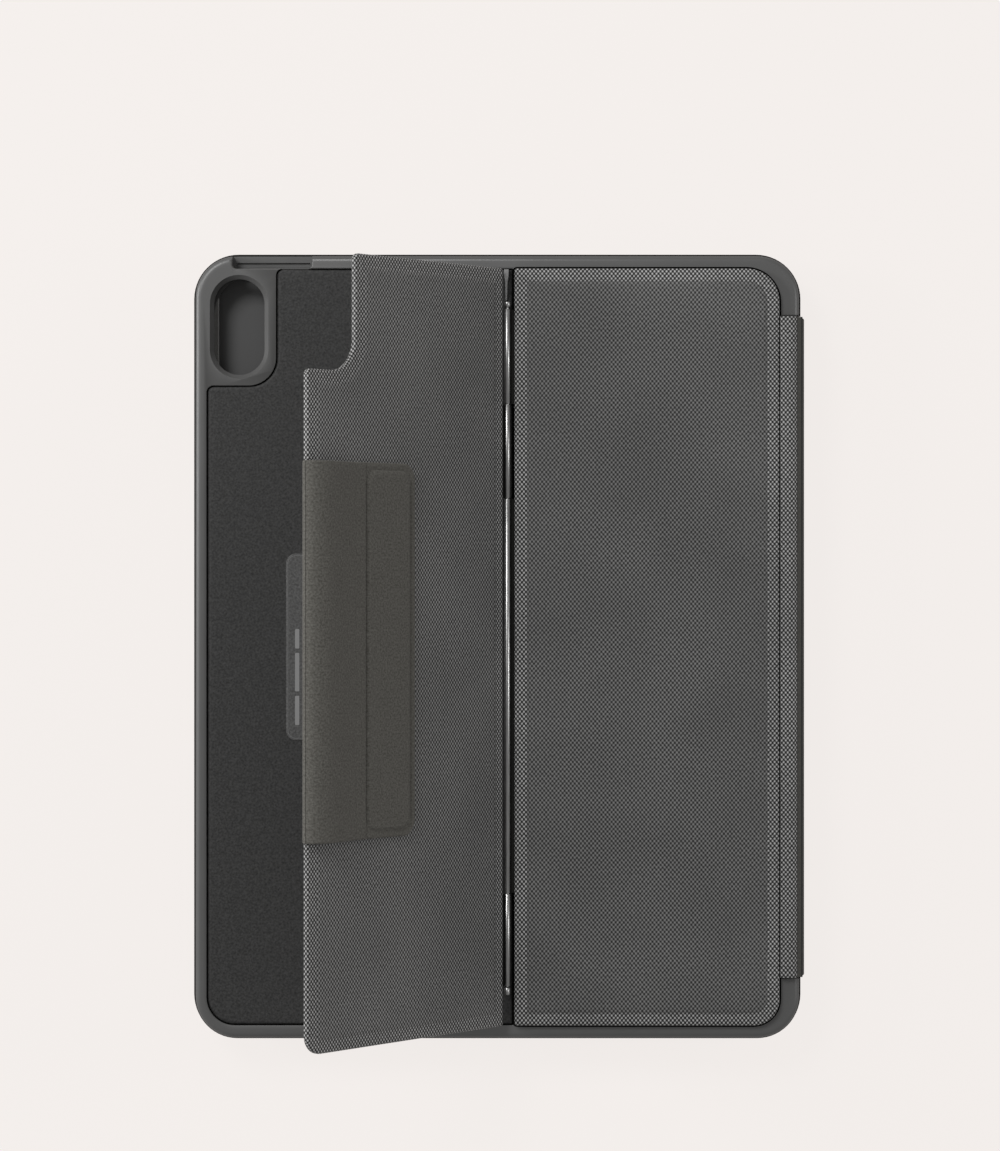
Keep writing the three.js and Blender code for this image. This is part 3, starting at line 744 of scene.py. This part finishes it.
def make_hinge():
    for node in ("hinge_barrel_upper", "hinge_barrel_middle"):
        make_leaf(node, 1, place, "tray")
    for node in ("hinge_leaf_upper", "hinge_leaf_lower"):
        make_leaf(node, -1, stand_place, "kickstand")
    for node, end in (("hinge_cap_upper", 1), ("hinge_cap_lower", -1)):
        low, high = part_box(node)
        near, far = (low.y / MM, high.y / MM) if end > 0 else (high.y / MM, low.y / MM)
        profile = [(0.5, near), (1.0, near), (BARREL, near + 0.1 * end), (BARREL, far - 0.35 * end),
                   (1.02, far - 0.15 * end), (0.8, far), (0.3, far)]
        finish_piece(turned(node + "_turned", profile, HINGE_STEEL), "tray", "steel", node)
    low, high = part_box("hinge_pin")
    ends = (low.y / MM, high.y / MM)
    profile = [(0.2, ends[0]), (0.53, ends[0] + 0.1), (0.53, ends[1] - 0.1), (0.2, ends[1])]
    finish_piece(turned("hinge_pin_rod", profile, STEEL), "tray", "steel", "hinge_pin")


# ---------------------------------------------------------------- closing flap

FLAP_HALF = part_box("flap_link")[1].y / MM
FLAP_THICK = 1.25
TAB_CORNER = 6.0
MAGNET = {"near": 56.9, "far": 78.6, "half": 62.8, "radius": 4.0, "rise": 0.6}
CREASE = 0.32                       # pressed line round the magnet
GROOVES = [(79.3, 0.4, 0.42), (85.4, 0.6, 0.14)]
# Middle of the flap as (s, n): s away from the hinge, n off the kickstand's outer face.
FLAP_LINE = [(107.1, -1.5), (108.0, -1.35), (108.6, -0.6), (108.8, 0.5), (108.1, 1.9), (106.9, 3.0),
             (105.3, 3.9), (103.0, 4.4), (100, 4.3), (96.5, 3.75), (92, 2.85), (88, 2.15), (84, 1.6),
             (81, 1.3), (79, 1.05), (77.4, 1.0), (70, 1.0), (60, 1.0), (53.5, 1.0)]
STRAP_SEAM = 94.0
RELIEF_END = 95.0                   # the flap is smooth from here to its outer edge


def smooth_line(points):
    """Points along a Catmull-Rom curve through the given ones."""
    step = 0.45
    ends = [points[0]] + points + [points[-1]]
    out = []
    for i in range(1, len(ends) - 2):
        p0, p1, p2, p3 = [Vector(p) for p in ends[i - 1:i + 3]]
        count = max(2, round((p2 - p1).length / step))
        for k in range(count):
            t = k / count
            out.append(0.5 * (2 * p1 + (p2 - p0) * t + (2 * p0 - 5 * p1 + 4 * p2 - p3) * t ** 2
                              + (3 * p1 - p0 - 3 * p2 + p3) * t ** 3))
    out.append(Vector(points[-1]))
    return out


def rounded_distance(s, y):
    """Distance from inside the magnet's raised rectangle to its rounded edge, positive inside."""
    middle = (MAGNET["near"] + MAGNET["far"]) / 2
    reach = (MAGNET["far"] - MAGNET["near"]) / 2 - MAGNET["radius"]
    dx = max(abs(s - middle) - reach, 0)
    dy = max(abs(y) - (MAGNET["half"] - MAGNET["radius"]), 0)
    return MAGNET["radius"] - math.hypot(dx, dy)


def eased(t):
    t = min(max(t, 0), 1)
    return t * t * (3 - 2 * t)


def flap_relief(s, y):
    """How far the outer face stands proud: the magnet's bump, less the sewn grooves."""
    if s > RELIEF_END:
        return 0.0
    inside = rounded_distance(s, y)
    lift = MAGNET["rise"] * eased((inside + 0.3) / 0.7) - CREASE * math.exp(-((inside + 0.8) / 0.4) ** 2)
    for at, width, depth in GROOVES:
        lift -= depth * math.exp(-((s - at) / width) ** 2)
    return lift


def edge_share(distance):
    """Share of the half thickness left near a rounded edge."""
    t = min(max(distance / (FLAP_THICK / 2), 0), 1)
    return max(math.sqrt(1 - (1 - t) ** 2), 0.02)


def flap_columns():
    """Places across the flap, close together at its edges."""
    fine = [0, 0.04, 0.15, 0.35, 0.6, 1.0, 1.8, 2.6, 3.35, 3.9, 4.5, 5.3, 6.4, 8]
    side = [FLAP_HALF - d for d in fine]
    middle_count = 40
    reach = side[-1]
    middle = [reach - 2 * reach * k / middle_count for k in range(1, middle_count)]
    return side + middle + [-y for y in reversed(side)]


def flap_part(name, line, free_end, flat_start):
    """A stretch of the flap as a closed sheet, with two faces and rounded edges."""
    ys = flap_columns()
    rows, cols = len(line), len(ys)
    run = [0.0]
    for a, b in zip(line, line[1:]):
        run.append(run[-1] + (b - a).length)
    upper, lower, flat = [], [], []
    for i, point in enumerate(line):
        ahead, behind = line[min(i + 1, rows - 1)], line[max(i - 1, 0)]
        along = (ahead - behind).normalized()
        normal = Vector((along.y, -along.x))
        for y in ys:
            s, n = point
            left = run[-1] - run[i]
            beyond = max(abs(y) - (FLAP_HALF - TAB_CORNER), 0)
            if free_end:
                pull = TAB_CORNER - math.sqrt(max(TAB_CORNER ** 2 - beyond ** 2, 0))
                share = max(0.0, 1 - left / 12)
                s += pull * share
                left_edge = left * (1 - pull / 12) if left < 12 else left
            else:
                left_edge = 99
            half = FLAP_THICK / 2 * edge_share(min(FLAP_HALF - abs(y), left_edge))
            out = normal * (half + flap_relief(s, y) * min(1, half / (FLAP_THICK / 2)))
            upper.append((HINGE_X - (s + out.x), y, BACK + n + out.y))
            back = normal * half
            lower.append((HINGE_X - (s - back.x), y, BACK + n - back.y))
            flat.append((flat_start + run[i], y))
    verts = upper + lower
    total = rows * cols
    faces = []
    for i in range(rows - 1):
        for j in range(cols - 1):
            a = i * cols + j
            faces.append((a, a + 1, a + cols + 1, a + cols))
            faces.append((total + a, total + a + cols, total + a + cols + 1, total + a + 1))
        for j in (0, cols - 1):
            a = i * cols + j
            faces.append((a, a + cols, total + a + cols, total + a))
    for i in (0, rows - 1):
        for j in range(cols - 1):
            a = i * cols + j
            faces.append((a, a + 1, total + a + 1, total + a))
    return piece(name, verts, faces, [SUEDE], stand_place, flat + flat, sharp=50)


def stand_point(s, n):
    return stand_place((HINGE_X - s, 0, BACK + n))


def make_flap():
    line = smooth_line(FLAP_LINE)
    seam_a = max(range(len(line)), key=lambda i: line[i].x)
    seam_b = min(range(seam_a, len(line)), key=lambda i: abs(line[i].x - STRAP_SEAM))
    parts = [
        ("flap_fold_cloth", line[:seam_a + 1], "kickstand", "flap_link",
         stand_point(107.5, -0.6), stand_point(108.7, 0.8), ["flap_link"]),
        ("flap_strap_cloth", line[seam_a:seam_b + 1], "flap_link", "flap_strap",
         stand_point(105.8, 3.7), stand_point(101.2, 4.4),
         ["flap_strap_skin", "flap_strap_lining", "flap_strap_stiffener"]),
        ("flap_tab_cloth", line[seam_b:], "flap_strap", "flap_tab",
         stand_point(82.2, 1.4), stand_point(77.2, 1.0),
         ["flap_tab_skin", "flap_tab_lining", "flap_tab_magnet"]),
    ]
    flat_start = 0.0
    for name, stretch, a, b, start, end, nodes in parts:
        made = flap_part(name, stretch, name == "flap_tab_cloth", flat_start)
        flat_start += sum((q - p).length for p, q in zip(stretch, stretch[1:]))
        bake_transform(made)
        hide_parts(*nodes)


# ---------------------------------------------------------------- spine

SPINE_HALF = SPINE_HIGH.y
WING_UNDER = 20.5                   # underside of the cloth on the tray's back
SPINE_MIDDLE = (SPINE_LOW.z + SPINE_HIGH.z) / 2


def strip(name, outer, inner, materials, ends):
    """A strip along Y from two matching (x, z) lines; ends gives its half length at each point."""
    count = len(outer)
    section = outer + inner[::-1]
    halves = ends + ends[::-1]
    columns = 24
    rings, flats = [], []
    run = [0.0]
    for a, b in zip(outer, outer[1:]):
        run.append(run[-1] + math.dist(a, b))
    flat_run = run + run[::-1]
    for k in range(columns + 1):
        t = 2 * k / columns - 1
        rings.append([(x, half * t, z) for (x, z), half in zip(section, halves)])
        flats.append([(u, half * t) for u, half in zip(flat_run, halves)])
    verts, faces = loft(rings)
    kinds = []
    for k in range(columns):
        kinds += [0 if i < count - 1 else 1 for i in range(len(section))]
    kinds += [1, 1]
    flat = [p for ring in flats for p in ring]
    return piece(name, verts, faces, materials, place, flat, kinds, sharp=50)


def make_wing():
    """The spine's cloth where it laps onto the tray's back and turns over its edge."""
    left = PANEL_HIGH.x + 0.25
    top = BACK - 0.1
    outer = [(left, top - 0.5), (left + 0.1, top - 0.15), (left + 0.5, top), (left + 1.5, top),
             (107.4, top), (108.5, top - 0.12), (109.35, top - 0.45), (109.95, top - 0.95),
             (110.4, top - 1.6), (110.5, top - 2.3), (110.5, top - 2.6)]
    inner = [(left, WING_UNDER + 0.1), (left + 0.1, WING_UNDER + 0.05), (left + 0.5, WING_UNDER),
             (left + 1.5, WING_UNDER)]
    inner += [(x, WING_UNDER) for x in (106, 107, 108, 108.8, 109.3, 109.7, 110.1)]
    wing = strip("spine_wing_cloth", outer, inner, [WOVEN_BORDER, SUEDE], [SPINE_HALF] * len(outer))
    finish_piece(wing, "tray", "woven_fabric", "spine_wing_back")


SIDE_OUT = [(110.2, 22.0), (110.7, 22.35), (111.45, 22.15), (112.25, 21.5), (112.85, 20.5),
            (113.15, 19.2), (113.25, 17.5), (113.25, 15), (113.25, 12)]
SIDE_IN = [(110.2, 21.0), (110.5, 21.3), (110.8, 21.25), (110.95, 21.0), (110.95, 20.3),
           (110.95, 19.2), (110.95, 17.5), (110.95, 15), (110.95, 12)]
SIDE_CUT = [0.0, 0.0, 0.15, 0.4, 0.7, 0.9, 1.0, 1.0, 1.0]


def make_spine():
    """The spine's side as two strips that meet at its middle, each bent over one fold."""
    middle = SPINE_MIDDLE
    ends = [SPINE_HALF - cut for cut in SIDE_CUT]
    upper = strip("spine_side_upper", SIDE_OUT, SIDE_IN, [SIDE_CLOTH, SUEDE], ends)
    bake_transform(upper)
    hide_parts("spine_lining")

    def mirrored(points):
        return [(x, 2 * middle - z) for x, z in points]

    tongue_out = [(103.4, 0.02), (106.5, 0.0), (108.8, 0.02), (109.8, 0.3)]
    tongue_in = [(103.4, 0.5), (106.5, 0.75), (108.8, 0.8), (109.8, 1.5)]
    outer = mirrored(SIDE_OUT)[::-1] + tongue_out[::-1]
    inner = mirrored(SIDE_IN)[::-1] + tongue_in[::-1]
    lower_ends = ends[::-1] + [SPINE_HALF] * len(tongue_out)
    lower = strip("spine_side_lower", outer, inner, [SIDE_CLOTH, SUEDE], lower_ends)
    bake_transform(lower)
    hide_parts("spine_outer_fabric")


# ---------------------------------------------------------------- front cover

COVER = {"left": -111.4, "right": 109.35, "half": 144.2, "corner": 15.6}


def cover_corners():
    return rectangle(COVER["left"], -COVER["half"], COVER["right"], COVER["half"], COVER["corner"])


def make_cover():
    profile = [(inset, BACK - z) for inset, z in cloth_profile(BACK, BACK - 2.0, 2.0, 0.0, 0.25)]
    cloth = cloth_panel("cover_cloth", cover_corners(), profile, place, 14)
    finish_piece(cloth, "front_cover", "woven_fabric", "cover_outer_fabric")
    low, high = COVER_LOW.z, COVER_HIGH.z
    half_x, half_y = DECK_HIGH.x + 0.3, DECK_HIGH.y + 0.3
    opening = rectangle(-half_x, -half_y, half_x, half_y, 8)
    side = [(1.9, low + 0.02), (1.75, low + 0.3), (1.9, high - 0.05), (2.3, high)]
    rings = shell(cover_corners(), side, 14)[0]
    rings += shell(opening, [(0, high), (0, low + 0.02)], 14)[0]
    lining = closed_band("cover_lining_cloth", rings, LINING_SOLID)
    finish_piece(lining, "front_cover", "soft_lining", "cover_lining")


# ---------------------------------------------------------------- keyboard

UNIT = 18.2
KEY_GAP = 2.6
ROWS = {
    "function": {"x": 92.5, "depth": 9, "keys": [("key_escape", 15 / 14)]
                 + [("keys_function_row", 15 / 14)] * 13},
    "number": {"x": 78, "keys": [("keys_number_row", 1)] * 13 + [("key_backspace", 2)]},
    "top": {"x": 59.6, "keys": [("key_tab", 1.5)] + [("keys_top_letter_row", 1)] * 12
            + [("keys_top_letter_row", 1.5)]},
    "home": {"x": 41.2, "keys": [("key_caps_lock", 1.75)] + [("keys_home_letter_row", 1)] * 11
             + [("key_return", 2.25)]},
    "bottom": {"x": 22.8, "keys": [("key_shift_left", 2.25)] + [("keys_bottom_letter_row", 1)] * 10
               + [("key_shift_right", 2.75)]},
    "space": {"x": 4.4, "keys": [("keys_modifiers_left", 1)] * 3 + [("keys_modifiers_left", 1.25)]
              + [("key_space", 5.5)] + [("keys_modifiers_right", 1.25)] + [("keys_modifiers_right", 1)] * 4},
}
CAP_TOP = extent("key_space")[1].z
CAP_BOTTOM = extent("key_space")[0].z
PAD_LOW, PAD_HIGH = extent("trackpad")


def key_places():
    """Each key as (node, x0, y0, x1, y1); rows start at the user's left, which is +Y."""
    found = []
    for row in ROWS.values():
        depth = row.get("depth", 15.8)
        left = 7.5 * UNIT
        for node, units in row["keys"]:
            right = left - units * UNIT
            found.append((node, row["x"] - depth / 2, right + KEY_GAP / 2,
                          row["x"] + depth / 2, left - KEY_GAP / 2))
            left = right
    return found


def cap_rings(x0, y0, x1, y1):
    """A keycap: straight skirt, sloping sides, rounded shoulder and a dished top."""
    top = CAP_TOP
    profile = [(2.6, top - 0.22), (2.2, top - 0.2), (1.5, top - 0.1), (1.0, top - 0.02), (0.75, top),
               (0.55, top - 0.06), (0.42, top - 0.25), (0.15, top - 1.0), (0, top - 1.4),
               (0, CAP_BOTTOM), (2.2, CAP_BOTTOM)]
    return shell(rectangle(x0, y0, x1, y1, 1.3), profile, 4)[0]


def body_of_node(node):
    return frame["nodes"][node]["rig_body"]


def make_keys():
    """Keycaps, with a thin web under each group of keys that moves as one."""
    groups = {}
    for node, *rect in key_places():
        groups.setdefault(node, []).append(rect)
    for node, rects in groups.items():
        shells = [cap_rings(*rect) for rect in rects]
        if len(rects) > 1:
            web = rectangle(rects[0][0] + 1, rects[-1][1] + 0.5, rects[0][2] - 1, rects[0][3] - 0.5, 0.5)
            profile = [(0.3, CAP_BOTTOM + 0.4), (0, CAP_BOTTOM + 0.35), (0, CAP_BOTTOM - 0.2),
                       (0.3, CAP_BOTTOM - 0.2)]
            shells.append(shell(web, profile, 2)[0])
        caps = piece(node + "_caps", *joined(shells), [CAP_SKIN])
        finish_piece(caps, body_of_node(node), "keycap", node)


def deck_cutters():
    """Cutters for the openings of the keys, trackpad, socket, switch and light, and for the inside."""
    room = 0.4
    low, high = DECK_HIGH.z - 3, DECK_HIGH.z + 1
    shells = []
    holes = [(x0, y0, x1, y1, 1.6) for _, x0, y0, x1, y1 in key_places()]
    holes.append((PAD_LOW.x - 0.3, PAD_LOW.y - 0.3, PAD_HIGH.x + 0.3, PAD_HIGH.y + 0.3, 3.4))
    for x0, y0, x1, y1, radius in holes:
        corners = rectangle(x0 - room, y0 - room, x1 + room, y1 + room, radius)
        shells.append(shell(corners, [(0, low), (0, high)], 4)[0])
    holes_cutter = piece("hole_cutter", *joined(shells), [DECK_SKIN])
    cavity = plain_cutter("cavity_cutter", deck_corners(1.5), 0, DECK_HIGH.z - 1)
    cuts = [holes_cutter, cavity]
    for node, sign, half_x, half_z in (("charging_socket", 1, 4.7, 1.75), ("power_switch", -1, 3.6, 1.0)):
        low_corner, high_corner = extent(node)
        x = (low_corner.x + high_corner.x) / 2 + (1 if sign < 0 else 0)
        z = (low_corner.z + high_corner.z) / 2
        ring = outline(centred(2 * half_x, 2 * half_z, half_z - 0.05, x, z))
        rings = [[(p.x, sign * DECK_HIGH.y + d, p.y) for p in ring] for d in (-3, 3)]
        cuts.append(piece(node + "_cutter", *loft(rings), [DECK_SKIN]))
    lamp_low, lamp_high = extent("status_light")
    x, y = (lamp_low.x + lamp_high.x) / 2, (lamp_low.y + lamp_high.y) / 2
    cuts.append(plain_cutter("lamp_cutter", centred(2.3, 2.3, 1.1, x, y), low, high))
    return cuts


def deck_corners(inset=0.0):
    x, y = DECK_HIGH.x - inset, DECK_HIGH.y - inset
    return rectangle(-x, -y, x, y, 8 - inset)


def make_deck():
    low, high = DECK_LOW.z, DECK_HIGH.z
    deck = moulded("keyboard_deck", deck_corners(), block_profile(low, high, 0.9), DECK_SKIN, steps=10)
    carve(deck, deck_cutters())
    finish_piece(deck, "front_cover", "keyboard_plastic", "keyboard_top_frame")
    pad = moulded("trackpad_plate", rectangle(PAD_LOW.x, PAD_LOW.y, PAD_HIGH.x, PAD_HIGH.y, 3),
                  block_profile(PAD_LOW.z, PAD_HIGH.z, 0.3), PAD_SKIN)
    finish_piece(pad, "trackpad", "trackpad_plastic", "trackpad")
    for node in ("screen_bumper_front", "screen_bumper_back"):
        low_corner, high_corner = extent(node)
        shape = rectangle(low_corner.x, low_corner.y, high_corner.x, high_corner.y, 1.4)
        strip_piece = moulded(node + "_strip", shape, [(1.35, high_corner.z), (1.1, high_corner.z),
                              (0.6, high_corner.z - 0.12), (0.2, high_corner.z - 0.45),
                              (0, high_corner.z - 0.9), (0, low_corner.z), (1.35, low_corner.z)], RUBBER)
        finish_piece(strip_piece, "front_cover", "rubber", node)


# ---------------------------------------------------------------- carried-over CAD pieces

CARRIED = {
    BOARD: ["cover_board", "fixed_panel_board", "kickstand_board", "spine_board"],
    DECK_SKIN: ["keyboard_base"],
    STEEL: ["key_support_plate", "cover_catch_plate", "kickstand_catch_plate", "charging_socket"],
    RUBBER: ["dome_membrane"],
    CIRCUIT: ["circuit_board"],
    POUCH: ["battery_left", "battery_right"],
    CAP_SKIN: ["power_switch"],
    LAMP: ["status_light"],
    LINING_SOLID: ["tray_lining"],
}


def dress_carried():
    for material, names in CARRIED.items():
        for name in names:
            mesh = NODES[name].data
            mesh.materials.clear()
            mesh.materials.append(material)


# ---------------------------------------------------------------- floor, light and camera

FLOOR_COLOUR = (0.896, 0.855, 0.831, 1)
CAMERA_HEIGHT = 1276                # above the tray's back
VIEW_HEIGHT = 423.9                 # of the tray's back plane in the picture
VIEW_CENTRE = (1.0, 26.3)
SENSOR = 36
LIGHTS_AIM = Vector((0, 0, 0.02))


def make_floor():
    """Pale floor that mostly glows, so that the case throws only a faint shadow on it."""
    mesh = bpy.data.meshes.new("floor")
    half = 6
    corners = [(-half, -half, 0), (half, -half, 0), (half, half, 0), (-half, half, 0)]
    mesh.from_pydata(corners, [], [(0, 1, 2, 3)])
    floor = bpy.data.objects.new("floor", mesh)
    floor.location.z = -0.0005
    SCENE.collection.objects.link(floor)
    material, tree, shader = surface("floor_paper", 0.9, 0.1)
    shader.inputs["Base Color"].default_value = (0.04, 0.038, 0.037, 1)
    shader.inputs["Emission Color"].default_value = FLOOR_COLOUR
    shader.inputs["Emission Strength"].default_value = 0.95
    mesh.materials.append(material)


def make_light(name, position, size, power):
    data = bpy.data.lights.new(name, "AREA")
    data.shape = "DISK"
    data.size = size
    data.energy = power
    light = bpy.data.objects.new(name, data)
    light.location = position
    light.rotation_euler = (LIGHTS_AIM - Vector(position)).to_track_quat("-Z", "Y").to_euler()
    SCENE.collection.objects.link(light)


def make_studio():
    world = bpy.data.worlds.new("studio")
    world.use_nodes = True
    ground = world.node_tree.nodes["Background"]
    ground.inputs["Color"].default_value = (1, 0.99, 0.98, 1)
    ground.inputs["Strength"].default_value = 0.4
    SCENE.world = world
    make_light("key", (-0.7, 0.8, 1.25), 0.6, 16)
    make_light("rim", (-1.5, 0.35, 0.7), 0.4, 16)
    make_light("edge", (1.15, 0.1, 0.95), 0.3, 5)
    data = bpy.data.cameras.new("camera")
    data.sensor_width = SENSOR
    data.lens = SENSOR * CAMERA_HEIGHT / VIEW_HEIGHT
    data.clip_start, data.clip_end = 0.05, 20
    camera = bpy.data.objects.new("camera", data)
    camera.location = place((VIEW_CENTRE[0], VIEW_CENTRE[1], TRAY_TOP + CAMERA_HEIGHT))
    SCENE.collection.objects.link(camera)
    SCENE.camera = camera
    SCENE.view_settings.view_transform = "Standard"


make_studio()
make_floor()
make_tray()
make_recess_ridge()
make_insert()
make_fixed_panel()
make_stand()
make_hinge()
make_flap()
make_wing()
make_spine()
make_cover()
make_keys()
make_deck()
dress_carried()
